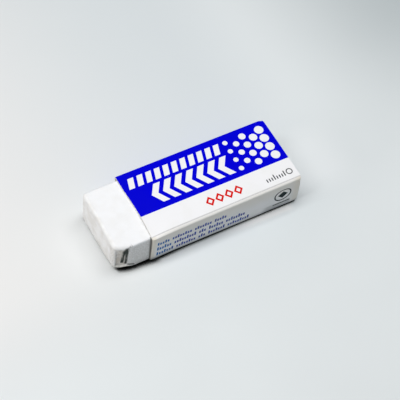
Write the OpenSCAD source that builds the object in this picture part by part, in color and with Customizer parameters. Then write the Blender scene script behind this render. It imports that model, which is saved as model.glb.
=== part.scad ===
// White block eraser in a folded and glued card sleeve, lying on its widest face.
// Millimetres. +X runs along the eraser from its bare end to the sleeve's back end, +Z is up,
// and the origin is the middle of the footprint, on the surface that the sleeve lies on.

/* [Eraser block] */
// Length of the moulded block
block_l = 64; // [55:0.5:75]
// Width of the block
block_w = 23.4; // [21:0.1:28]
// Height of the block
block_h = 12.5; // [10:0.1:16]
// Plan radius of the block's upright corners
corner_r = 2.2; // [1.4:0.1:4]
// Rounding along the block's top and bottom edges
edge_r = 0.9; // [0.3:0.1:1.3]
// How far the one upright corner that rubbing has worn away reaches along the block
worn_run = 4.6; // [2.2:0.1:7]
// How far that worn corner reaches across the block
worn_w = 2.6; // [2.2:0.1:5]
// Rounding along the top and bottom edges at the worn corner
worn_edge_r = 1.5; // [0.5:0.1:2]

/* [Card sleeve] */
// Length by which the sleeve is shorter than the block
sleeve_short = 11.5; // [6:0.5:16]
// Length of bare block that stands out of the sleeve's front end
exposed_l = 12; // [4:0.5:20]
// Thickness of the card
card_t = 0.4; // [0.25:0.05:0.6]
// Inside radius of the sleeve's four folds
fold_r = 0.3; // [0.2:0.05:0.6]
// Gap between the block and the card, all round
slip_gap = 0.15; // [0.1:0.05:0.3]
// Height at which the glued outer panel's cut edge ends on the far side
lap_z = 1.6; // [1:0.1:4]

/* [Blue print] */
// Thickness of the printed ink
ink_t = 0.03; // [0.02:0.01:0.06]
// Width of the white band between the near side and the blue field
white_band = 8.05; // [6:0.05:9.5]
// Height of the chevrons
chevron_h = 7.2; // [5:0.1:7.6]
// Thickness of a chevron's arms, along the eraser
chevron_w = 2.3; // [1:0.1:2.8]
// Length by which a chevron's tip leads its arms
chevron_tip = 2.3; // [1:0.1:3]
// Spacing of the chevrons
chevron_pitch = 3.9; // [3.5:0.05:6]
// Gap from the sleeve's front end to the row of chevrons
chevron_margin = 6.8; // [2:0.1:10]
// Height of the short bars
short_bar_h = 3.9; // [2.5:0.1:4.4]
// Thickness of the short bars
short_bar_w = 1.9; // [0.8:0.1:2.4]
// Spacing of the short bars
short_bar_pitch = 3; // [2.7:0.05:5]
// Lean of the short bars, as run over rise
bar_lean = 0.3; // [0:0.05:0.5]
// Gap from the sleeve's front end to the row of short bars
bar_margin = 1.7; // [1:0.1:4]
// Gap between the two rows, and between them and the dots
row_gap = 1.1; // [0.6:0.1:1.6]
// Spacing of the columns of dots
dot_pitch = 3.1; // [2.8:0.05:4]
// Columns of dots
dot_columns = 5; // [3:1:6]
// Radius of the smallest dots
dot_r = 0.85; // [0.5:0.05:0.9]
// Growth in radius from one column of dots to the next
dot_growth = 0.17; // [0:0.01:0.2]
// Gap from the dots to the sleeve's back end
dot_margin = 1.6; // [0.8:0.1:4]

/* [Small print on top] */
// Distance from the sleeve's front end to the row of red lozenges
lozenge_x = 20.6; // [10:0.1:26]
// Length of a lozenge along the eraser
lozenge_l = 3.1; // [2:0.1:3.2]
// Width of a lozenge across the eraser
lozenge_w = 3.6; // [2:0.1:4.5]
// Thickness of a lozenge's line
lozenge_line = 0.6; // [0.3:0.05:0.7]
// Spacing of the lozenges
lozenge_pitch = 3.3; // [3.3:0.05:5]
// Lozenges in the row
lozenge_count = 4; // [1:1:5]
// Distance from the ring mark's centre to the sleeve's back end
ring_x = 2.5; // [2:0.1:5]
// Distance from the near side to the middle of the ring mark and the tick marks
ring_y = 3.3; // [2.2:0.1:4.5]
// Outer radius of the ring mark
ring_r = 1.1; // [0.7:0.05:1.3]
// Thickness of the ring mark's line
ring_line = 0.3; // [0.15:0.05:0.5]
// Tick marks beside the ring
tick_count = 8; // [2:1:10]
// Spacing of the tick marks
tick_pitch = 0.9; // [0.6:0.05:1.1]
// Height of the long tick marks
tick_h = 2; // [1:0.1:2.6]
// Height of the short tick marks
short_tick_h = 1.2; // [0.6:0.1:2]
// The first tick mark is long, and then one in this many
tick_group = 4; // [2:1:6]
// Thickness of a tick mark
tick_w = 0.35; // [0.2:0.05:0.5]

/* [Print on the near side] */
// Height of the lowest row of strokes, at its middle
row_z = 2.6; // [2:0.1:3.2]
// Spacing of the rows
row_pitch = 2.9; // [2.2:0.1:3.2]
// Gap from the sleeve's front end to the rows
row_margin = 1.9; // [1:0.1:4]
// Spacing of the strokes
stroke_pitch = 0.87; // [0.7:0.01:1]
// Thickness of a stroke
stroke_w = 0.4; // [0.2:0.05:0.55]
// Height of the tall strokes
stroke_h = 1.8; // [1.2:0.1:2]
// Height of the short strokes
short_stroke_h = 1.2; // [0.8:0.1:1.6]
// One stroke in this many is tall
stroke_group = 3; // [2:1:5]
// Outer radius of the round seal
seal_r = 3.1; // [2:0.1:3.6]
// Thickness of the seal's line
seal_line = 0.45; // [0.2:0.05:0.8]
// Side of the square in the seal
seal_square = 2.5; // [1:0.1:3.5]
// Gap from the seal's ring to the line under it
seal_gap = 1.25; // [0.5:0.05:1.6]
// Distance from the seal's centre to the sleeve's back end
seal_x = 6; // [4.5:0.1:9]
// Height of the seal's centre
seal_z = 7.4; // [6.6:0.1:8]

/* [Hidden] */
$fn = 48;
// Small overshoot that makes a cutter pass right through
over = 1;

// The sleeve's length, its inside, and its outside without and with the second layer on the far side
sleeve_l = block_l - sleeve_short;
inner_w = block_w + 2 * slip_gap;
inner_h = block_h + 2 * slip_gap;
outer_h = inner_h + 2 * card_t;
band_w = inner_w + 2 * card_t;
outer_w = band_w + card_t;
outer_fold_r = fold_r + card_t;

// Places, with the whole object's footprint centred on the origin
total_l = max(exposed_l + sleeve_l, block_l);
block_x0 = -total_l / 2;
front_x = block_x0 + exposed_l;
back_x = front_x + sleeve_l;
near_y = -outer_w / 2;
far_y = near_y + outer_w;
block_y0 = near_y + card_t + slip_gap;
block_z0 = card_t + slip_gap;

// The blue field on the top panel, and the two rows centred across it
field_y0 = near_y + white_band;
field_w = far_y - outer_fold_r - field_y0;
chevron_y = field_y0 + (field_w - chevron_h - row_gap - short_bar_h) / 2;
bar_y = chevron_y + chevron_h + row_gap;

// The dots, in columns that alternate by half a pitch; the widest column is the last
dots_l = (dot_columns - 1) * (dot_pitch + dot_growth) + 2 * dot_r;
dots_x = back_x - dot_margin - dots_l + dot_r;
dot_row_pitch = dot_pitch * 2 / sqrt(3);
dot_rows = floor(field_w / dot_row_pitch);

// As many chevrons and bars as there is room for between the front end and the dots
rows_end = dots_x - dot_r - row_gap;
chevron_room = rows_end - front_x - chevron_margin - chevron_w - chevron_tip;
chevrons = floor(chevron_room / chevron_pitch) + 1;
bar_room = rows_end - front_x - bar_margin - short_bar_w - bar_lean * short_bar_h;
short_bars = floor(bar_room / short_bar_pitch) + 1;

// A lozenge's hole, inset by the line's thickness square to its sides
lozenge_inset = lozenge_line * norm([lozenge_l, lozenge_w]);
hole_l = lozenge_l - 2 * lozenge_inset / lozenge_w;
hole_w = lozenge_w - 2 * lozenge_inset / lozenge_l;

// Groups of strokes in each printed row on the near side, from the top row down
ROWS = [[5, 8, 7, 5], [6, 9, 3, 6, 8], [7, 8, 3, 7, 9]];

// Sum of the first n entries of a list
function sum_to(list, n) = n <= 0 ? 0 : list[n - 1] + sum_to(list, n - 1);

// A rectangle with round corners and its lower left corner at the origin
module round_rect(w, h, r) {
    translate([r, 0]) square([w - 2 * r, h]);
    translate([0, r]) square([w, h - 2 * r]);
    for (x = [r, w - r], y = [r, h - r]) translate([x, y]) circle(r);
}

// Stands a drawing of the sleeve's cross-section up and runs it along the sleeve
module along_sleeve(x0, x1) {
    translate([x0, near_y, 0]) rotate([90, 0, 90]) linear_extrude(x1 - x0) children();
}

// Lays a drawing of the top panel as ink on the card
module ink_on_top() {
    translate([0, 0, outer_h]) linear_extrude(ink_t) children();
}

// Stands a drawing of the near side up as ink on the card; its y is the height
module ink_on_near_side() {
    translate([0, near_y, 0]) rotate([90, 0, 0]) linear_extrude(ink_t) children();
}

// A ring drawn by its outer radius and the thickness of its line
module ring(r, line) {
    difference() {
        circle(r);
        circle(r - line);
    }
}

// A bar that leans along the eraser
module slanted_bar(w, h) {
    polygon([[0, 0], [w, 0], [w + bar_lean * h, h], [bar_lean * h, h]]);
}

// A chevron that points to the bare end of the block, with its tip at the origin
module chevron(w, tip, h) {
    polygon([[0, 0], [tip, -h / 2], [tip + w, -h / 2], [w, 0], [tip + w, h / 2], [tip, h / 2]]);
}

// A lozenge about the origin
module rhombus(l, w) {
    polygon([[-l / 2, 0], [0, -w / 2], [l / 2, 0], [0, w / 2]]);
}

// One upright corner of the block, rounded in plan and along its top and bottom edges
module block_corner(plan_r, rim_r) {
    for (z = [rim_r, block_h - rim_r])
        translate([0, 0, z]) rotate_extrude($fn = 32) translate([plan_r - rim_r, 0]) circle(rim_r, $fn = 32);
}

module eraser_block() {
    color([0.95, 0.95, 0.95])
        translate([block_x0, block_y0, block_z0])
            hull() {
                translate([worn_run, worn_w, 0])
                    scale([1, worn_w / worn_run, 1])
                        block_corner(worn_run, worn_edge_r);
                translate([corner_r, block_w - corner_r, 0]) block_corner(corner_r, edge_r);
                translate([block_l - corner_r, corner_r, 0]) block_corner(corner_r, edge_r);
                translate([block_l - corner_r, block_w - corner_r, 0]) block_corner(corner_r, edge_r);
            }
}

// The outline of the printed outer panel: the top and the far side, down to the cut edge
module outer_outline(grow) {
    translate([-grow, -grow]) round_rect(outer_w + 2 * grow, outer_h + 2 * grow, outer_fold_r + grow);
}

module sleeve() {
    color([0.93, 0.93, 0.92])
        along_sleeve(front_x, back_x)
            difference() {
                union() {
                    round_rect(band_w, outer_h, outer_fold_r);
                    intersection() {
                        outer_outline(0);
                        translate([0, lap_z]) square([outer_w + over, outer_h]);
                    }
                }
                translate([card_t, card_t]) round_rect(inner_w, inner_h, fold_r);
            }
}

module white_rows() {
    for (i = [0 : chevrons - 1])
        translate([front_x + chevron_margin + i * chevron_pitch, chevron_y + chevron_h / 2])
            chevron(chevron_w, chevron_tip, chevron_h);
    for (i = [0 : short_bars - 1])
        translate([front_x + bar_margin + i * short_bar_pitch, bar_y]) slanted_bar(short_bar_w, short_bar_h);
}

module white_dots() {
    for (column = [0 : dot_columns - 1]) {
        shift = column % 2;
        for (row = [0 : dot_rows - 1 - shift])
            translate([
                dots_x + column * dot_pitch,
                field_y0 + field_w / 2 + (row - (dot_rows - 1 - shift) / 2) * dot_row_pitch
            ])
                circle(dot_r + dot_growth * column);
    }
}

module blue_print() {
    color([0, 0.02, 0.78])
        difference() {
            along_sleeve(front_x, back_x)
                difference() {
                    intersection() {
                        outer_outline(ink_t);
                        translate([white_band, lap_z]) square([outer_w, outer_h]);
                    }
                    outer_outline(0);
                }
            translate([0, 0, outer_h - over])
                linear_extrude(2 * over) {
                    white_rows();
                    white_dots();
                }
        }
}

module red_print() {
    color([0.8, 0.05, 0.02])
        ink_on_top()
            for (i = [0 : lozenge_count - 1])
                translate([front_x + lozenge_x + lozenge_l / 2 + i * lozenge_pitch, near_y + white_band / 2])
                    difference() {
                        rhombus(lozenge_l, lozenge_w);
                        rhombus(hole_l, hole_w);
                    }
}

module black_print() {
    color([0.12, 0.12, 0.13])
        ink_on_top()
            translate([back_x - ring_x, near_y + ring_y]) {
                ring(ring_r, ring_line);
                for (i = [1 : tick_count]) {
                    h = i % tick_group == 1 ? tick_h : short_tick_h;
                    translate([-ring_r - i * tick_pitch, -tick_h / 2]) square([tick_w, h]);
                }
            }
}

module side_print() {
    strokes_end = back_x - seal_x - seal_r - stroke_pitch;
    color([0.08, 0.2, 0.45])
        ink_on_near_side()
            for (row = [0 : len(ROWS) - 1], group = [0 : len(ROWS[row]) - 1])
                for (i = [0 : ROWS[row][group] - 1]) {
                    x = front_x + row_margin + (sum_to(ROWS[row], group) + group + i) * stroke_pitch;
                    z = row_z + (len(ROWS) - 1 - row) * row_pitch - short_stroke_h / 2;
                    h = (i + group) % stroke_group == 0 ? stroke_h : short_stroke_h;
                    if (x + stroke_w < strokes_end)
                        translate([x, z]) square([stroke_w, h]);
                }
}

module seal_print() {
    color([0.3, 0.33, 0.34])
        ink_on_near_side()
            translate([back_x - seal_x, seal_z]) {
                ring(seal_r, seal_line);
                rotate(45) square(seal_square, center = true);
                translate([-seal_r, -seal_r - seal_gap - seal_line]) square([2 * seal_r, seal_line]);
            }
}

eraser_block();
sleeve();
blue_print();
red_print();
black_print();
side_print();
seal_print();
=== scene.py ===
import bmesh
import bpy
import math
import numpy as np
from mathutils import Matrix, Vector


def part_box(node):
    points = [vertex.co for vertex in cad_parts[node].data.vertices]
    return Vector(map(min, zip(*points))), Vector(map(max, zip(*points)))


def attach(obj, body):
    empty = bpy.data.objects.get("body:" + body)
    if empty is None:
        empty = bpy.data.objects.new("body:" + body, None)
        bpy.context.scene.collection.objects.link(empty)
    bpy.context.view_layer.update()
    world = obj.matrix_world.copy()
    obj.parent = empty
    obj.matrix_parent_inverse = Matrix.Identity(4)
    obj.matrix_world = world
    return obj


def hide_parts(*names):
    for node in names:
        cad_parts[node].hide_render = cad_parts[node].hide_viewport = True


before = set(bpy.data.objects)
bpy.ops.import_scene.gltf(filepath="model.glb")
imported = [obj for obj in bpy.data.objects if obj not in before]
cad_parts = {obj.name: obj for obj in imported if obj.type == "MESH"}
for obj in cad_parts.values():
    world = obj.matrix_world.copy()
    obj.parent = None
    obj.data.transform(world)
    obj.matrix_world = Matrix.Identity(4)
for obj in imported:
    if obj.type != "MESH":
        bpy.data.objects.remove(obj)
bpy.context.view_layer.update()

# ---- Eraser block -------------------------------------------------------------------------------
# One block of soft white plasticised vinyl, moulded with rounded edges. Its bare end has been rubbed
# on paper: the upright corner nearest the small print is worn back above a thin lip.

# Sizes are in millimetres, and MM turns them into metres
MM = 0.001
block_lo, block_hi = (np.array(corner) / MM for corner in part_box("eraser_block"))
front_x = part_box("sleeve")[0][0] / MM
BLOCK_CORNER_R = 2.2
FAR_END_CORNER_R = 1.2
BLOCK_EDGE_R = 0.95
NEAR_EDGE_R = 0.6
# The worn corner: how far it reaches along the block and across it, its softer rims, and how far from
# the corner the rims are softened
WORN_RUN = 6.0
WORN_WIDTH = 2.6
WORN_EDGE_R = 1.3
WORN_REACH = 7.0
# The rims under the block, as shares of the ones on top: in general, and at the worn corner
BOTTOM_SHARE = 0.6
WORN_BOTTOM_SHARE = 1.3
# The lip at the foot of the worn corner, and the height of the step from it into the rubbed hollow
LIP_H = 1.3
LIP_STEP = 0.5
# The hollow: its depth, how much deeper it is just over the lip, its reach along and across the corner,
# the share of that reach in which it keeps its depth, and the way in which it is pushed in
HOLLOW_DEPTH = 0.45
HOLLOW_LEDGE = 0.45
HOLLOW_RUN = 5.0
HOLLOW_WIDTH = 4.0
HOLLOW_FLOOR = 0.3
HOLLOW_INWARD = (0.45, 0.9)
# It starts in an upright edge between these distances from the end face. It loses a share of its depth
# towards the top, between these distances below it.
HOLLOW_START = (0.4, 1.0)
HOLLOW_FADE = 0.8
HOLLOW_FADE_BELOW = (3.4, 0.8)
# The groove that the sleeve's front edge has rubbed into the near face
RUB_DEPTH = 0.15
RUB_W = 0.5
# The top falls away towards its near edge, and the soft bare end sags towards the table
EDGE_DROP = 0.95
EDGE_DROP_REACH = 13.0
SAG = 0.15
# How fine the mesh is: points round each corner of the plan, the gap between points along its sides, and
# rings of points on each rim, on each cap and down the sides
CORNER_POINTS = 29
PLAN_GAP = 0.4
RIM_RINGS = 9
CAP_RINGS = 14
SIDE_RINGS = 40


def smooth(low, high, value):
    """0 below low, 1 above high, and a soft step between them."""
    t = np.clip((value - low) / (high - low), 0, 1)
    return t * t * (3 - 2 * t)


def mesh_piece(name, points, faces, body):
    """A smooth-shaded mesh piece from points in millimetres, riding on a body."""
    mesh = bpy.data.meshes.new(name)
    mesh.from_pydata([tuple(p * MM) for p in points], [], faces)
    mesh.validate()
    mesh.polygons.foreach_set("use_smooth", [True] * len(mesh.polygons))
    piece = bpy.data.objects.new(name, mesh)
    bpy.context.scene.collection.objects.link(piece)
    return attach(piece, body)


def block_plan():
    """Points round the block's plan, each with the direction outward and the radii of both rims there."""
    corners = [
        (block_lo[0], block_lo[1], -1, -1, WORN_RUN, WORN_WIDTH),
        (block_hi[0], block_lo[1], 1, -1, BLOCK_CORNER_R, BLOCK_CORNER_R),
        (block_hi[0], block_hi[1], 1, 1, BLOCK_CORNER_R, BLOCK_CORNER_R),
        (block_lo[0], block_hi[1], -1, 1, FAR_END_CORNER_R, FAR_END_CORNER_R),
    ]
    arcs = []
    for x, y, side_x, side_y, run, width in corners:
        centre = np.array([x - side_x * run, y - side_y * width])
        start = math.atan2(side_y, side_x) - math.pi / 4
        for angle in start + np.linspace(0, math.pi / 2, CORNER_POINTS):
            outward = np.array([math.cos(angle), math.sin(angle)])
            arcs.append((centre + outward * [run, width], outward))
    stations = []
    for (here, outward), (there, _) in zip(arcs, arcs[1:] + arcs[:1]):
        parts = max(1, round(np.linalg.norm(there - here) / PLAN_GAP))
        stations += [(here + (there - here) * i / parts, outward) for i in range(parts)]
    plan, outward = [np.array(column) for column in zip(*stations)]

    # The rims are tighter along the near side and softer round the worn corner
    from_worn = np.linalg.norm(plan - block_lo[:2], axis=1)
    worn = 1 - smooth(0.5 * WORN_REACH, WORN_REACH, from_worn)
    rim = BLOCK_EDGE_R + (NEAR_EDGE_R - BLOCK_EDGE_R) * smooth(0.3, 1, -outward[:, 1])
    rim += (WORN_EDGE_R - rim) * worn
    low_rim = rim * (BOTTOM_SHARE + (WORN_BOTTOM_SHARE - BOTTOM_SHARE) * worn)
    return plan, outward, rim, low_rim


def block_rings():
    """Rings of points from the middle of the top, over its rim, down the sides and in under the bottom."""
    plan, outward, rim, low_rim = block_plan()
    middle = (block_lo + block_hi) / 2
    # Each cap closes on a spine along the block's middle, half this long
    spine = (block_hi[0] - block_lo[0] - (block_hi[1] - block_lo[1])) / 2
    nearest = np.clip(plan[:, 0], middle[0] - spine, middle[0] + spine)
    centre = np.column_stack([nearest, np.full(len(plan), middle[1])])
    quarter = np.linspace(math.pi / 2, 0, RIM_RINGS)
    rounds = [(outward * (1 - math.cos(a)), 1 - math.sin(a)) for a in quarter]

    def cap(edge_rim, z):
        edge = plan - outward * edge_rim[:, None]
        flats = [edge + (centre - edge) * share for share in np.linspace(0.02, 1, CAP_RINGS)]
        return [np.column_stack([flat, np.full(len(flat), z)]) for flat in flats]

    rings = cap(rim, block_hi[2])[::-1]
    for back, down in rounds:
        rings.append(np.column_stack([plan - back * rim[:, None], block_hi[2] - down * rim]))
    top, bottom = block_hi[2] - rim, block_lo[2] + low_rim
    for share in np.linspace(0, 1, SIDE_RINGS)[1:-1]:
        rings.append(np.column_stack([plan, top + (bottom - top) * share]))
    for back, down in rounds[::-1]:
        rings.append(np.column_stack([plan - back * low_rim[:, None], block_lo[2] + down * low_rim]))
    return rings + cap(low_rim, block_lo[2])


def wear_block(points):
    """Moves the points to where rubbing, the sleeve's edge and the block's own weight have left them."""
    x, y, z = points.T
    from_end = x - block_lo[0]
    from_near = y - block_lo[1]
    lip_top = block_lo[2] + LIP_H
    from_corner = np.hypot(from_end / HOLLOW_RUN, from_near / HOLLOW_WIDTH)
    over_lip = 1 - smooth(lip_top, block_lo[2] + 3 * LIP_H, z)
    hollow = (HOLLOW_DEPTH + HOLLOW_LEDGE * over_lip) * (1 - smooth(HOLLOW_FLOOR, 1, from_corner))
    hollow *= smooth(lip_top, lip_top + LIP_STEP, z) * smooth(*HOLLOW_START, from_end)
    fade_starts, fade_ends = (block_hi[2] - below for below in HOLLOW_FADE_BELOW)
    hollow *= 1 - HOLLOW_FADE * smooth(fade_starts, fade_ends, z)
    inward = np.array(HOLLOW_INWARD) / math.hypot(*HOLLOW_INWARD)
    rub = RUB_DEPTH * np.exp(-(((x - front_x) / RUB_W) ** 2)) * (1 - smooth(0, 1, from_near))
    worn = points.copy()
    worn[:, :2] += inward * hollow[:, None]
    worn[:, 1] += rub
    drop = EDGE_DROP * (1 - smooth(0, EDGE_DROP_REACH, from_near))
    worn[:, 2] -= drop * (z - block_lo[2]) / (block_hi[2] - block_lo[2])
    worn[:, 2] -= SAG * (1 - smooth(block_lo[0], front_x, x))
    return worn


def build_block():
    rings = block_rings()
    count = len(rings[0])
    faces = []
    for i in range(len(rings) - 1):
        for j in range(count):
            k = (j + 1) % count
            faces.append((i * count + j, (i + 1) * count + j, (i + 1) * count + k, i * count + k))
    piece = mesh_piece("vinyl_block", wear_block(np.concatenate(rings)), faces, "block")
    bm = bmesh.new()
    bm.from_mesh(piece.data)
    bmesh.ops.remove_doubles(bm, verts=bm.verts, dist=0.001 * MM)
    bmesh.ops.dissolve_degenerate(bm, edges=bm.edges, dist=0.0005 * MM)
    bmesh.ops.recalc_face_normals(bm, faces=bm.faces)
    bm.to_mesh(piece.data)
    bm.free()
    return piece


def linear(colour):
    """An sRGB hex colour as linear RGBA."""
    channels = [int(colour[i : i + 2], 16) / 255 for i in (1, 3, 5)]
    return [c / 12.92 if c <= 0.04045 else ((c + 0.055) / 1.055) ** 2.4 for c in channels] + [1]


def add(tree, kind, sockets=None, out=0, **settings):
    """Adds a node with its settings, gives its sockets values or links, and returns one output."""
    node = tree.nodes.new(kind)
    for name, value in settings.items():
        setattr(node, name, value)
    for name, value in (sockets or {}).items():
        if isinstance(value, bpy.types.NodeSocket):
            tree.links.new(value, node.inputs[name])
        else:
            node.inputs[name].default_value = value
    return node.outputs[out] if node.outputs else None


def new_surface(name):
    """A new material, its nodes, and the place on the piece in millimetres, whole and as x, y and z."""
    material = bpy.data.materials.new(name)
    material.use_nodes = True
    tree = material.node_tree
    tree.nodes.clear()
    metres = add(tree, "ShaderNodeTexCoord", out="Object")
    place = add(tree, "ShaderNodeVectorMath", {0: metres, "Scale": 1 / MM}, operation="SCALE")
    axes = [add(tree, "ShaderNodeSeparateXYZ", {0: place}, out=axis) for axis in "XYZ"]
    return material, tree, place, axes


def stained(tree, colour, stain, strength, *spans):
    """A colour under a stain that shows at its strength where each value is in its span.

    A span is a value, the bound where the stain starts and the bound where it is full. A Mix node keeps
    its colours in sockets 6, 7 and out 2.
    """
    for value, starts, full in spans:
        sockets = {"Value": value, "From Min": starts, "From Max": full}
        step = add(tree, "ShaderNodeMapRange", sockets, interpolation_type="SMOOTHSTEP")
        strength = add(tree, "ShaderNodeMath", {0: step, 1: strength}, operation="MULTIPLY")
    base = linear(colour) if isinstance(colour, str) else colour
    return add(tree, "ShaderNodeMix", {0: strength, 6: base, 7: linear(stain)}, out=2, data_type="RGBA")


def finish_surface(tree, colour, normal, pattern, smoothest, roughest, constants):
    """Joins a surface's colour, bumps and constants, with a roughness that follows one of its patterns."""
    sockets = {"Value": pattern, "From Min": 0.3, "From Max": 0.7, "To Min": smoothest, "To Max": roughest}
    roughness = add(tree, "ShaderNodeMapRange", sockets)
    sockets = {"Base Color": colour, "Roughness": roughness, "Normal": normal, **constants}
    shader = add(tree, "ShaderNodeBsdfPrincipled", sockets)
    add(tree, "ShaderNodeOutputMaterial", {"Surface": shader})


def pencil_stroke(tree, place, start, end, width):
    """The distance from a straight pencil stroke in x and z, as a value with the span in which it shows."""
    origin = Vector((start[0], 0, start[1]))
    run = Vector((end[0], 0, end[1])) - origin
    flat = add(tree, "ShaderNodeVectorMath", {0: place, 1: (1, 0, 1)}, operation="MULTIPLY")
    away = add(tree, "ShaderNodeVectorMath", {0: flat, 1: origin}, operation="SUBTRACT")
    sockets = {0: away, 1: run / run.length_squared}
    share = add(tree, "ShaderNodeVectorMath", sockets, out="Value", operation="DOT_PRODUCT")
    share = add(tree, "ShaderNodeClamp", {"Value": share})
    nearest = add(tree, "ShaderNodeVectorMath", {0: run, "Scale": share}, operation="SCALE")
    gap = add(tree, "ShaderNodeVectorMath", {0: away, 1: nearest}, out="Value", operation="DISTANCE")
    return gap, width, 0.25 * width


def moulded_vinyl():
    """Soft white vinyl, moulded: matt and slightly waxy. Rubbing has left graphite and grime on it; some
    shade and light are painted on.
    """
    material, tree, place, (x, y, z) = new_surface("moulded_vinyl")
    # A scale of 1 is one grain to a millimetre: here the tone drifts over 3.3 mm, dust lies in patches of
    # 1.4 mm and graphite in marks of 0.45 mm. The pores are finer than 0.1 mm, and are drawn at 0.17 mm so
    # that they show.
    cloud = add(tree, "ShaderNodeTexNoise", {"Vector": place, "Scale": 0.3, "Detail": 3})
    sockets = {"Vector": place, "Scale": 0.7, "Detail": 4, "Roughness": 0.6}
    dust = add(tree, "ShaderNodeTexNoise", sockets)
    sockets = {"Vector": place, "Scale": 2.2, "Detail": 5, "Roughness": 0.7}
    scratch = add(tree, "ShaderNodeTexNoise", sockets)
    pores = add(tree, "ShaderNodeTexNoise", {"Vector": place, "Scale": 6, "Detail": 2})
    near_side = (y, block_lo[1] + 4.5, block_lo[1] + 3.5)
    lip_top = block_lo[2] + LIP_H
    colour = stained(tree, "#F3F4F6", "#EBEBEA", 0.5, (cloud, 0.35, 0.75))

    # Grime from fingers and the desk in soft patches on the end face, and painted shade that darkens the
    # end face towards the bottom
    end = (x, block_lo[0] + 1.6, block_lo[0] + 0.3)
    colour = stained(tree, colour, "#D4D1CC", 0.42, end, (cloud, 0.3, 0.7))
    # Painted shade: the end face darker towards the table
    colour = stained(tree, colour, "#B8B2AA", 0.1, end, (z, block_lo[2] + 6, block_lo[2]))

    # Paper dust and graphite worked into the vinyl of the hollow, with painted shade where it turns from
    # the light, and a lighter lip under it: cleaner vinyl with painted light on its upward ledge
    in_corner = [(x, block_lo[0] + 4.6, block_lo[0] + 3), (x, block_lo[0] + 0.6, block_lo[0] + 1.1)]
    in_height = [(z, lip_top - 0.1, lip_top + 0.5), (z, block_hi[2] - 1.9, block_hi[2] - 2.8)]
    in_hollow = [*in_corner, near_side, *in_height]
    on_lip = [near_side, (x, block_lo[0] + 6, block_lo[0] + 4), (z, lip_top + 0.3, lip_top)]
    # Painted shade in the hollow, mixed with its dust and graphite
    colour = stained(tree, colour, "#A89A88", 0.6, *in_hollow, (dust, 0.2, 0.6))
    # Painted light on the lip's upward ledge
    colour = stained(tree, colour, "#F4F4EE", 0.8, *on_lip)

    # Dark line on the near face at the sleeve's front edge: painted shadow of the gap there, with a little
    # dust held against it
    at_edge = [(x, front_x - 0.6, front_x - 0.2), (x, front_x + 0.9, front_x + 0.3)]
    on_face = (y, block_lo[1] + 0.7, block_lo[1] + 0.3)
    # Painted shadow of the gap at the sleeve's front edge
    colour = stained(tree, colour, "#45443F", 0.7, *at_edge, on_face)

    # The bare near face has picked up a little graphite all over
    bare_face = [near_side, (z, block_hi[2] - 1.5, block_hi[2] - 2.3), (x, front_x + 3, front_x)]
    colour = stained(tree, colour, "#A8A49C", 0.36, *bare_face, (scratch, 0.35, 0.6))

    # Pencil marks picked up on the near face and over its top edge, dense and streaky. Each has its start
    # and end in x and z, its width and its strength, and the streaks stretch upright.
    strokes = [
        ((-28.4, 10.6), (-28.9, 9.2), 1.1, 1.0),
        ((-28.9, 9.6), (-29.7, 3.7), 0.75, 1.0),
        ((-28.2, 9.6), (-28.6, 3.1), 0.6, 1.0),
        ((-27.9, 2.5), (-25.9, 1.5), 0.45, 0.9),
        ((-28.0, 11.2), (-26.8, 11.7), 0.4, 0.5),
    ]
    upright = add(tree, "ShaderNodeVectorMath", {0: place, 1: (1, 1, 0.12)}, operation="MULTIPLY")
    streak = add(tree, "ShaderNodeTexNoise", {"Vector": upright, "Scale": 1.6, "Detail": 2})
    for start, stop, width, strength in strokes:
        mark = pencil_stroke(tree, place, start, stop, width)
        colour = stained(tree, colour, "#1C2822", strength, mark, near_side, (streak, 0.2, 0.5))

    dents = add(tree, "ShaderNodeBump", {"Height": cloud, "Strength": 0.1, "Distance": 0.4 * MM})
    sockets = {"Height": pores, "Strength": 0.04, "Distance": 0.03 * MM, "Normal": dents}
    pitted = add(tree, "ShaderNodeBump", sockets)
    # A little light goes in under the skin, which is what makes vinyl look waxy
    finish_surface(tree, colour, pitted, cloud, 0.5, 0.62, {
        "IOR": 1.5,
        "Specular IOR Level": 0.25,
        "Subsurface Weight": 0.15,
        "Subsurface Radius": (1, 0.95, 0.9),
        "Subsurface Scale": 0.6 * MM,
    })
    return material


block = build_block()
block.data.materials.append(moulded_vinyl())
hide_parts("eraser_block")

# ---- Card sleeve --------------------------------------------------------------------------------
# One sheet of white coated board, creased and folded four times round the block, with a flap glued
# under its outer panel on the far side. Handling has softened its near fold, front edge and corners.

sleeve_lo, sleeve_hi = (np.array(corner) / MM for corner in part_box("sleeve"))
CARD_T = 0.4
FOLD_R = 0.7
NEAR_FOLD_R = 0.35
# Where the outer panel's cut edge ends above the table on the far side, how high the flap goes, and how
# thick the glue between them is
LAP_Z = 1.6
FLAP_Z = 11.0
GLUE_T = 0.01
# The front edge wanders from a straight cut by this much, in a wave about this place across the panel
WANDER = 0.2
WANDER_OFFSET = 0.07
WANDER_PLACE = 7.5
WANDER_HALF = 16.0
WANDER_RUN = 8.0
# The near top fold: the score line's place, depth and width, and the fall of the card beyond it
SCORE_PLACE = 0.4
SCORE_DEPTH = 0.08
SCORE_W = 0.16
FACET_SLOPE = 0.62
# The near side leans out towards its top, and more so at the sleeve's mouth
LEAN = 0.4
MOUTH_SPREAD = 0.3
MOUTH_LENGTH = 17.0
# The top panel falls away towards its near fold: how much, how far across, and how much of it is left
# at the back end
PANEL_DROP = 0.45
PANEL_REACH = 16.0
PANEL_DROP_BACK = 0.3
# Fingers have pressed the top panel's mouth down on to the block by the near fold: how far down, how far
# across and back it reaches, and how much of the fold's slope it has taken away at the front edge
MOUTH_DIP = 0.6
MOUTH_DIP_REACH = 7.0
MOUTH_DIP_LENGTH = 10.0
MOUTH_DIP_FLATTENS = 0.85
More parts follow.
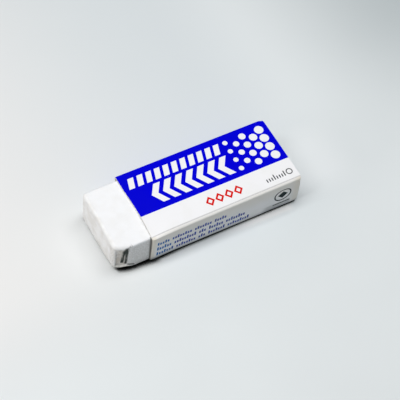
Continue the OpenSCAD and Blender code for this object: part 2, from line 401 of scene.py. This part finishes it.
# The side panel's front edge curls in over this length, by this much at its foot and at its top. The
# curl has died out this far in from the near side.
CURL_RUN = 1.4
CURL_IN = 0.14
CURL_IN_TOP = 0.35
CURL_REACH = 2
# The back corners of the top panel are rubbed round, the far one more than the near one
FAR_CORNER_R = 1.6
NEAR_CORNER_R = 0.6
# The underside's long edges ride a little above the table, but come down to it over this length at the
# sleeve's mouth. The lift starts this far from the middle, and has died out at this height.
EDGE_LIFT = 0.35
EDGE_LIFT_RUN = 8.0
EDGE_LIFT_START = 2
EDGE_LIFT_HEIGHT = 4
# How fine the mesh is round the card: points in each fold and up the flap, the gap between points in the
# zone beside a fold and past it, and the width under which a panel has no points of its own
FOLD_POINTS = 13
FLAP_POINTS = 12
FOLD_ZONE = 0.8
FOLD_GAP = 0.1
PANEL_GAP = 0.6
NARROW_PANEL = 1.8
# And along it: the zone at each end, and the gap between rows at the front edge, in the mouth, along the
# rest and at the back edge
END_ZONE = 2
FRONT_GAP = 0.2
MOUTH_GAP = 0.6
BODY_GAP = 1.5
BACK_GAP = 0.16
# The sleeve's materials, by their places in its list
COATED_FACE, INNER_FACE, CUT_EDGE = range(3)


def bend_card(points):
    """Card or ink points, as cut square, moved to where handling has bent them."""
    bent = points.copy()
    x, y, z = points.T
    from_front = x - sleeve_lo[0]
    from_near = y - sleeve_lo[1]
    top = sleeve_hi[2]
    on_top = smooth(0.6 * top, top - FOLD_R, z)

    wander = WANDER * np.cos(math.pi * (from_near - WANDER_PLACE) / WANDER_HALF) - WANDER_OFFSET
    bent[:, 0] += wander * (1 - smooth(0, WANDER_RUN, from_front)) * on_top

    # The side panel leans in its whole thickness, and on the top only the card beyond the score does
    in_fold = smooth(top - 1.6, top - 0.5, z)
    leaning = 1 - smooth(0.5 - 0.5 * in_fold, 1 - 0.6 * in_fold, from_near)
    spread = MOUTH_SPREAD * (1 - np.clip(from_front / MOUTH_LENGTH, 0, 1)) ** 2
    lean = (LEAN + spread) * z / top * leaning
    bent[:, 1] -= lean
    dip = (1 - np.clip(from_front / MOUTH_DIP_LENGTH, 0, 1)) ** 2
    slope = FACET_SLOPE * (1 - MOUTH_DIP_FLATTENS * dip)
    bent[:, 2] -= slope * (np.clip(SCORE_PLACE - from_near, 0, None) + lean) * on_top

    falling = PANEL_DROP * (1 - smooth(0, PANEL_REACH, from_near))
    falling *= 1 - (1 - PANEL_DROP_BACK) * smooth(0, sleeve_hi[0] - sleeve_lo[0], from_front)
    falling += MOUTH_DIP * dip * (1 - smooth(0, MOUTH_DIP_REACH, from_near))
    bent[:, 2] -= falling * on_top

    curl = np.clip(1 - from_front / CURL_RUN, 0, 1) ** 2
    curl *= CURL_IN + (CURL_IN_TOP - CURL_IN) * z / top
    bent[:, 1] += curl * (1 - smooth(CARD_T, CURL_REACH, from_near))

    # Each square corner of the plan, out to its radius, is drawn in to a round one
    from_back = sleeve_hi[0] - x
    corners = [(sleeve_hi[1] - y, -1, FAR_CORNER_R), (from_near, 1, NEAR_CORNER_R)]
    for from_side, inward, radius in corners:
        reach = np.clip(radius - np.column_stack([from_back, from_side]), 0, None)
        length = np.maximum(np.linalg.norm(reach, axis=1), 1e-9)
        drawn = (1 - reach.max(axis=1) / length) * (length > 1e-9) * on_top
        bent[:, :2] += reach * drawn[:, None] * [-1, inward]

    lift = EDGE_LIFT * smooth(0, EDGE_LIFT_RUN, from_front) * (1 - smooth(0, EDGE_LIFT_HEIGHT, z))
    bent[:, 2] += lift * smooth(EDGE_LIFT_START, sleeve_hi[1] - FOLD_R, np.abs(y))

    groove = (from_near - SCORE_PLACE) / SCORE_W
    bent[:, 2] -= SCORE_DEPTH * np.exp(-groove * groove) * on_top
    return bent


def panel_steps(gap):
    """Shares of the way across a panel: close together near its folds, and wider between them."""
    if gap < NARROW_PANEL:
        return np.array([0, 1])
    edge = np.arange(0, FOLD_ZONE, FOLD_GAP)
    between = np.linspace(FOLD_ZONE, gap - FOLD_ZONE, round(gap / PANEL_GAP))
    return np.concatenate([edge, between, (gap - edge)[::-1]]) / gap


def card_section():
    """The card's outer face in cross-section, as rows of y, z and the direction outward.

    It starts at the outer panel's cut edge, goes over the top and round, and ends at the flap's edge.
    """
    y0, y1, top = sleeve_lo[1], sleeve_hi[1], sleeve_hi[2]
    flap_y = y1 - CARD_T - GLUE_T
    folds = [(y1, top, FOLD_R), (y0, top, NEAR_FOLD_R), (y0, 0, FOLD_R), (flap_y, 0, FOLD_R)]
    section = [(y1, LAP_Z, 1, 0)]
    for turn, (y, z, radius) in enumerate(folds):
        centre = np.array([y - math.copysign(radius, y), radius if z == 0 else z - radius])
        for angle in np.linspace(0, math.pi / 2, FOLD_POINTS) + turn * math.pi / 2:
            outward = np.array([math.cos(angle), math.sin(angle)])
            place = centre + radius * outward
            before = np.array(section[-1][:2])
            for share in panel_steps(np.linalg.norm(place - before))[1:-1]:
                section.append((*(before + (place - before) * share), *outward))
            section.append((*place, *outward))
    for z in np.linspace(FOLD_R, FLAP_Z, FLAP_POINTS)[1:]:
        section.append((flap_y, z, 1, 0))
    return np.array(section)


def build_sleeve():
    section = card_section()
    length = sleeve_hi[0] - sleeve_lo[0]
    steps = np.concatenate([
        np.arange(0, END_ZONE, FRONT_GAP),
        np.arange(END_ZONE, MOUTH_LENGTH, MOUTH_GAP),
        np.arange(MOUTH_LENGTH, length - END_ZONE, BODY_GAP),
        length - np.arange(0, END_ZONE, BACK_GAP)[::-1],
    ])
    rows, columns = len(section), len(steps)
    layers = []
    for depth in (0, CARD_T):
        face = section[:, :2] - section[:, 2:] * depth
        for x in sleeve_lo[0] + steps:
            layers.append(np.column_stack([np.full(rows, x), face]))
    points = bend_card(np.concatenate(layers))

    inner = rows * columns
    faces, kinds = [], []
    for i in range(columns - 1):
        for j in range(rows - 1):
            a = i * rows + j
            faces.append((a, a + 1, a + rows + 1, a + rows))
            faces.append((inner + a, inner + a + rows, inner + a + rows + 1, inner + a + 1))
            kinds += [COATED_FACE, INNER_FACE]
        for a in (i * rows, i * rows + rows - 1):
            faces.append((a, a + rows, inner + a + rows, inner + a))
            kinds.append(CUT_EDGE)
    for i in (0, columns - 1):
        for a in range(i * rows, i * rows + rows - 1):
            faces.append((a, inner + a, inner + a + 1, a + 1))
            kinds.append(CUT_EDGE)
    piece = mesh_piece("card_sleeve", points, faces, "sleeve")
    piece.data.polygons.foreach_set("material_index", kinds)
    bm = bmesh.new()
    bm.from_mesh(piece.data)
    bmesh.ops.recalc_face_normals(bm, faces=bm.faces)
    bm.to_mesh(piece.data)
    bm.free()
    piece.data.set_sharp_from_angle(angle=math.radians(50))
    return piece


def coated_board():
    """White coated board, calendered: smooth and faintly satin, yellowed and dirtied by handling, with
    painted shade in its crease and low on its near side.
    """
    material, tree, place, (x, y, z) = new_surface("coated_board")
    # The coat's tone drifts over 4.5 mm. The fibres that show through it are about 0.03 mm wide, and are
    # drawn at 0.17 mm so that they show.
    cloud = add(tree, "ShaderNodeTexNoise", {"Vector": place, "Scale": 0.22, "Detail": 4})
    sockets = {"Vector": place, "Scale": 6, "Detail": 4, "Roughness": 0.6}
    fibre = add(tree, "ShaderNodeTexNoise", sockets)
    colour = stained(tree, "#F2F2F4", "#ECECEA", 0.5, (cloud, 0.4, 0.75))

    # Rubbed dirt in the score line of the near top fold, where the coat has cracked, and painted shade in
    # the crease
    score_y = sleeve_lo[1] + SCORE_PLACE
    high = (z, sleeve_hi[2] - 2, sleeve_hi[2] - 1.2)
    in_score = [(y, score_y - 0.3, score_y), (y, score_y + 0.34, score_y)]
    # Painted shade in the crease, with the cracked coat's dirt
    colour = stained(tree, colour, "#94918A", 0.55, high, *in_score, (fibre, 0.2, 0.6))

    # The fold itself, where fingers have yellowed the coat
    colour = stained(tree, colour, "#F6F3EC", 0.7, high, (y, score_y - 0.1, score_y - 0.4))

    # The near side is a little yellowed by handling, below the fold and at both ends
    side = (y, sleeve_lo[1] + 0.4, sleeve_lo[1] + 0.2)
    under_fold = [(z, 5, sleeve_hi[2] - 2), (z, sleeve_hi[2] - 1.1, sleeve_hi[2] - 1.6)]
    front_end = (x, sleeve_lo[0] + 1.6, sleeve_lo[0] + 0.6)
    back_end = (x, sleeve_hi[0] - 3.5, sleeve_hi[0] - 0.8)
    colour = stained(tree, colour, "#EBE6DD", 0.6, side, *under_fold)
    colour = stained(tree, colour, "#E6E0D2", 0.7, side, front_end)
    colour = stained(tree, colour, "#EAE0CE", 0.5, side, back_end)

    # Painted shade, bluish grey, along the near side's lower edge, and a darker patch under the seal
    under_seal = [(z, 4.2, 2.8), (x, 18.5, 21.5), (x, 30, 29)]
    # Painted shade along the lower edge
    colour = stained(tree, colour, "#7E8C98", 0.45, side, (z, 2.4, 0.6))
    colour = stained(tree, colour, "#5E686C", 0.4, side, *under_seal)

    fine = add(tree, "ShaderNodeBump", {"Height": fibre, "Strength": 0.06, "Distance": 0.03 * MM})
    sockets = {"Height": cloud, "Strength": 0.15, "Distance": 0.8 * MM, "Normal": fine}
    waves = add(tree, "ShaderNodeBump", sockets)
    finish_surface(tree, colour, waves, fibre, 0.42, 0.52, {"Specular IOR Level": 0.15})
    return material


def uncoated_board():
    """The board's plain inner face, unprinted: rougher and warmer than the coat, with specks of fibre."""
    material, tree, place, _ = new_surface("uncoated_board")
    # The fibres lie along the sleeve. They are about 0.03 mm wide, and are drawn at 0.33 mm so that they
    # show as specks, in a tone that drifts over 3.3 mm.
    along = add(tree, "ShaderNodeVectorMath", {0: place, 1: (0.35, 1, 1)}, operation="MULTIPLY")
    sockets = {"Vector": along, "Scale": 3, "Detail": 6, "Roughness": 0.7}
    fibre = add(tree, "ShaderNodeTexNoise", sockets)
    cloud = add(tree, "ShaderNodeTexNoise", {"Vector": place, "Scale": 0.3, "Detail": 3})
    colour = stained(tree, "#E7E4DC", "#CFC9BC", 0.6, (fibre, 0.45, 0.75))
    colour = stained(tree, colour, "#DAD5C8", 0.3, (cloud, 0.4, 0.7))
    nap = add(tree, "ShaderNodeBump", {"Height": fibre, "Strength": 0.3, "Distance": 0.06 * MM})
    finish_surface(tree, colour, nap, fibre, 0.75, 0.9, {"Specular IOR Level": 0.1})
    return material


def cut_board():
    """The board's die-cut edge: bare pressed fibre in thin plies, cream and matt, a little dirty, with
    painted shadow at the near side's front.
    """
    material, tree, place, (x, y, z) = new_surface("cut_board")
    # The plies are about 0.12 mm thick, and dirt clings to them in patches of 1.2 mm
    sockets = {"Vector": place, "Scale": 8, "Detail": 4, "Roughness": 0.7}
    plies = add(tree, "ShaderNodeTexNoise", sockets)
    dirt = add(tree, "ShaderNodeTexNoise", {"Vector": place, "Scale": 0.8, "Detail": 3})
    colour = stained(tree, "#ECEAE4", "#D2CDC2", 0.6, (plies, 0.4, 0.7))
    colour = stained(tree, colour, "#B8B3A9", 0.4, (dirt, 0.45, 0.7))

    # Painted shadow on the near side's front cut edge, which stands in the dark gap beside the block
    near_front = [(y, sleeve_lo[1] + 0.9, sleeve_lo[1] + 0.6), (x, 0, -10), (z, 12.5, 10.5)]
    # Painted shadow on the cut edge
    colour = stained(tree, colour, "#5E5A52", 0.6, *near_front)
    ridges = add(tree, "ShaderNodeBump", {"Height": plies, "Strength": 0.4, "Distance": 0.05 * MM})
    finish_surface(tree, colour, ridges, plies, 0.8, 0.95, {"Specular IOR Level": 0.1})
    return material


sleeve = build_sleeve()
for board in (coated_board(), uncoated_board(), cut_board()):
    sleeve.data.materials.append(board)
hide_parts("sleeve")

# ---- Printed ink --------------------------------------------------------------------------------
# Offset inks on the card before it was folded: a blue field with white openings over the top and the
# far side, red and black marks in the white band, and dark rows and a seal on the near side.

# Width of the strips into which the ink is cut so that it can follow the bent card, and their width at
# the back corner that is rubbed round
INK_STRIP = 0.6
FINE_STRIP = 0.16
# How far the strokes on the near side have crept to each side into the coat round them
STROKE_GAIN = 0.07


def offset_ink(name, solid, shade, rubbed):
    """Offset printing ink: thin and even, sunk into the coat, with faint mottle where it took less well.

    Handling has rubbed it to another shade next to the sleeve's front end.
    """
    material, tree, place, (x, _, _) = new_surface(name)
    # The mottle comes in clouds of 2 mm and specks of 0.14 mm
    cloud = add(tree, "ShaderNodeTexNoise", {"Vector": place, "Scale": 0.5, "Detail": 3})
    speck = add(tree, "ShaderNodeTexNoise", {"Vector": place, "Scale": 7, "Detail": 3})
    colour = stained(tree, solid, shade, 0.5, (cloud, 0.4, 0.7))
    colour = stained(tree, colour, shade, 0.5, (speck, 0.5, 0.8))
    colour = stained(tree, colour, rubbed, 0.9, (x, sleeve_lo[0] + 9, sleeve_lo[0] + 4))
    grit = add(tree, "ShaderNodeBump", {"Height": speck, "Strength": 0.06, "Distance": 0.03 * MM})
    finish_surface(tree, colour, grit, speck, 0.42, 0.55, {"Specular IOR Level": 0.02})
    return material


def spread_strokes(bm, gain):
    """Widens each separate stroke along X, as ink does that has crept into the coat round it."""
    left = set(bm.verts)
    while left:
        stroke, edge = set(), [left.pop()]
        while edge:
            vert = edge.pop()
            stroke.add(vert)
            beside = {e.other_vert(vert) for e in vert.link_edges} & left
            left -= beside
            edge += beside
        for z in {round(vert.co.z / MM, 2) for vert in stroke}:
            row = [vert for vert in stroke if round(vert.co.z / MM, 2) == z]
            middle = sum(vert.co.x for vert in row) / len(row)
            for vert in row:
                vert.co.x += math.copysign(gain * MM, vert.co.x - middle)


def strip_cuts(low, high):
    """The planes that cut a film into strips, each as the axis that it crosses and its place along it."""
    mouth = np.arange(sleeve_lo[0], sleeve_lo[0] + MOUTH_LENGTH, INK_STRIP)
    corner_x = np.arange(sleeve_hi[0] - FAR_CORNER_R, sleeve_hi[0], FINE_STRIP)
    across = np.arange(low[1], high[1], INK_STRIP)[1:]
    corner_y = np.arange(sleeve_hi[1] - FAR_CORNER_R, sleeve_hi[1], FINE_STRIP)
    upward = np.arange(low[2], high[2], INK_STRIP)[1:]
    families = [(0, mouth), (0, corner_x), (1, across), (1, corner_y), (2, upward)]
    return [(axis, place) for axis, places in families for place in places]


def ink_film(node, name, solid, shade, rubbed, gain=0):
    """The ink of one colour, cut fine enough to follow the bent card, in its own ink."""
    bm = bmesh.new()
    bm.from_mesh(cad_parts[node].data)
    bmesh.ops.remove_doubles(bm, verts=bm.verts, dist=0.0005 * MM)
    bmesh.ops.dissolve_limit(bm, angle_limit=math.radians(0.5), verts=bm.verts, edges=bm.edges)
    if gain:
        spread_strokes(bm, gain)
    low, high = (np.array(corner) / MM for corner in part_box(node))
    for axis, place in strip_cuts(low, high):
        point, normal = Vector(), Vector()
        point[axis] = place
        normal[axis] = 1
        geometry = bm.verts[:] + bm.edges[:] + bm.faces[:]
        bmesh.ops.bisect_plane(bm, geom=geometry, dist=1e-8, plane_co=point * MM, plane_no=normal)
    bm.verts.index_update()
    flat = np.array([v.co for v in bm.verts]) / MM
    faces = [[v.index for v in face.verts] for face in bm.faces]
    bm.free()
    piece = mesh_piece(name, bend_card(flat), faces, "sleeve")
    piece.data.set_sharp_from_angle(angle=math.radians(40))
    piece.data.materials.append(offset_ink(name, solid, shade, rubbed))
    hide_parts(node)
    return piece


ink_film("blue_print", "blue_ink_film", "#0000D6", "#0404CA", "#0404D0")
ink_film("red_print", "red_ink_film", "#DC1408", "#C81008", "#C81008")
ink_film("black_print", "black_ink_film", "#1C2026", "#30343A", "#30343A")
ink_film("side_print", "navy_ink_film", "#0C3A98", "#185EC4", "#0672B8", STROKE_GAIN)
ink_film("seal_print", "grey_ink_film", "#2A3638", "#3E4A48", "#3E4A48")

# ---- Table, light and camera --------------------------------------------------------------------
# A pale matt painted table top. One long softbox hangs over it and a weak one stands low on the left,
# in a dim even room, and the camera looks down on the bare end and the near side.

# How far the table reaches to each side, in metres
TABLE_REACH = 2
# How near a thing has to be to keep light off the table
CONTACT_REACH = 3.5


def painted_board():
    """Smooth board, painted: pale, matt and a little uneven in tone, with painted light and shade laid over
    it.
    """
    material, tree, place, (x, y, _) = new_surface("painted_board")
    # The paint's tone drifts over 80 mm
    cloud = add(tree, "ShaderNodeTexNoise", {"Vector": place, "Scale": 0.012, "Detail": 3})
    colour = stained(tree, "#E4E9EA", "#E1E6E7", 1, (cloud, 0.35, 0.7))

    # Painted light and shade on the table: it is a little greyer round the object and behind it, much
    # greyer far behind on the right, lighter and warmer on the left, and lighter just past the sleeve's
    # back end
    past_back = [(x, sleeve_hi[0] - 2, sleeve_hi[0] + 3), (x, sleeve_hi[0] + 30, sleeve_hi[0] + 15)]
    # Painted light and shade across the table
    colour = stained(tree, colour, "#D2D9DC", 0.5, (y, -48, -14), (x, 60, 25))
    colour = stained(tree, colour, "#B6BEC0", 0.82, (x, 48, 115), (y, -25, 50))
    colour = stained(tree, colour, "#F2EEEB", 0.6, (x, 25, -80), (y, -50, 0))
    colour = stained(tree, colour, "#FBFCFC", 0.3, *past_back, (y, -16, -6), (y, 16, 6))

    # Beside the sleeve's back half the near side throws light on to the table
    sockets = {"Distance": CONTACT_REACH * MM}
    open_sky = add(tree, "ShaderNodeAmbientOcclusion", sockets, out="AO", samples=16)
    beside = (y, block_lo[1] + 2.4, block_lo[1] + 0.6)
    back_half = [(x, 0, 20), (x, sleeve_hi[0] - 1, sleeve_hi[0] - 4)]
    colour = stained(tree, colour, "#FBFCFC", 1, (open_sky, 0.97, 0.75), *back_half, beside)

    # Where little light gets in by the near side: a wide band beside the bare end, and a thin line beside
    # the sleeve that widens in steps towards its front. Each band of dark has its strength, the shares of
    # open sky where it starts and is full, and its run.
    bare_end = [(x, block_lo[0] + 0.5, block_lo[0] + 1.7), (x, front_x + 4, front_x + 1)]
    under_side = [(x, block_lo[0] - 0.5, block_lo[0] + 1), (x, sleeve_hi[0] + 1, sleeve_hi[0] - 1)]
    bands = [
        (0.96, 0.85, 0.61, bare_end),
        (0.96, 0.56, 0.45, under_side),
        (0.9, 0.61, 0.47, [(x, 12, -2), *under_side]),
        (0.9, 0.67, 0.53, [(x, -7, -17), *under_side]),
        (0.08, 0.98, 0.8, [(x, -10, -18), *under_side]),
    ]
    for strength, starts, full, run in bands:
        colour = stained(tree, colour, "#060A08", strength, (open_sky, starts, full), *run, beside)
    sockets = {"Base Color": colour, "Roughness": 0.8, "Specular IOR Level": 0.1}
    shader = add(tree, "ShaderNodeBsdfPrincipled", sockets)
    add(tree, "ShaderNodeOutputMaterial", {"Surface": shader})
    return material


floor = bpy.data.objects.new("table_top", bpy.data.meshes.new("table_top"))
corners = [(sx * TABLE_REACH, sy * TABLE_REACH, 0) for sx, sy in ((-1, -1), (1, -1), (1, 1), (-1, 1))]
floor.data.from_pydata(corners, [], [(0, 1, 2, 3)])
bpy.context.scene.collection.objects.link(floor)
floor.data.materials.append(painted_board())

world = bpy.data.worlds.new("room")
world.use_nodes = True
world.node_tree.nodes["Background"].inputs["Color"].default_value = linear("#E8F3FF")
world.node_tree.nodes["Background"].inputs["Strength"].default_value = 0.085
bpy.context.scene.world = world


def softbox(name, place, aim, width, depth, watts, colour):
    """A soft rectangular light, its width along X, at a place in metres and turned to shine at another."""
    light = bpy.data.objects.new(name, bpy.data.lights.new(name, "AREA"))
    light.data.shape = "RECTANGLE"
    light.data.size = width
    light.data.size_y = depth
    light.data.energy = watts
    light.data.color = linear(colour)[:3]
    light.location = place
    light.rotation_euler = (Vector(aim) - light.location).to_track_quat("-Z", "Y").to_euler()
    bpy.context.scene.collection.objects.link(light)


softbox("overhead", (-0.07, 0.018, 0.52), (-0.07, 0.018, 0), 0.8, 0.22, 3.18, "#FFFFFF")
softbox("left_fill", (-0.44, 0.01, 0.15), (0, 0, 0), 0.24, 0.24, 0.57, "#FFF7EE")

# The camera's place round what it aims at, its roll, its distance in metres, and its lens and sensor
CAMERA_AZIMUTH = math.radians(-34.81)
CAMERA_ELEVATION = math.radians(54.94)
CAMERA_ROLL = math.radians(7.56)
CAMERA_DISTANCE = 0.4775
CAMERA_AIM = Vector((4.56, 1.06, 0)) * MM
LENS = 134.9
SENSOR_W = 36
back = Vector((
    math.sin(CAMERA_AZIMUTH) * math.cos(CAMERA_ELEVATION),
    -math.cos(CAMERA_AZIMUTH) * math.cos(CAMERA_ELEVATION),
    math.sin(CAMERA_ELEVATION),
))
right = (-back).cross(Vector((0, 0, 1))).normalized()
up = back.cross(right)
turned_right = right * math.cos(CAMERA_ROLL) + up * math.sin(CAMERA_ROLL)
turned_up = up * math.cos(CAMERA_ROLL) - right * math.sin(CAMERA_ROLL)
camera = bpy.data.objects.new("camera", bpy.data.cameras.new("camera"))
camera.data.sensor_width = SENSOR_W
camera.data.lens = LENS
turn = Matrix((turned_right, turned_up, back)).transposed().to_4x4()
camera.matrix_world = Matrix.Translation(CAMERA_AIM + back * CAMERA_DISTANCE) @ turn
bpy.context.scene.collection.objects.link(camera)
bpy.context.scene.camera = camera
bpy.context.scene.view_settings.view_transform = "Standard"
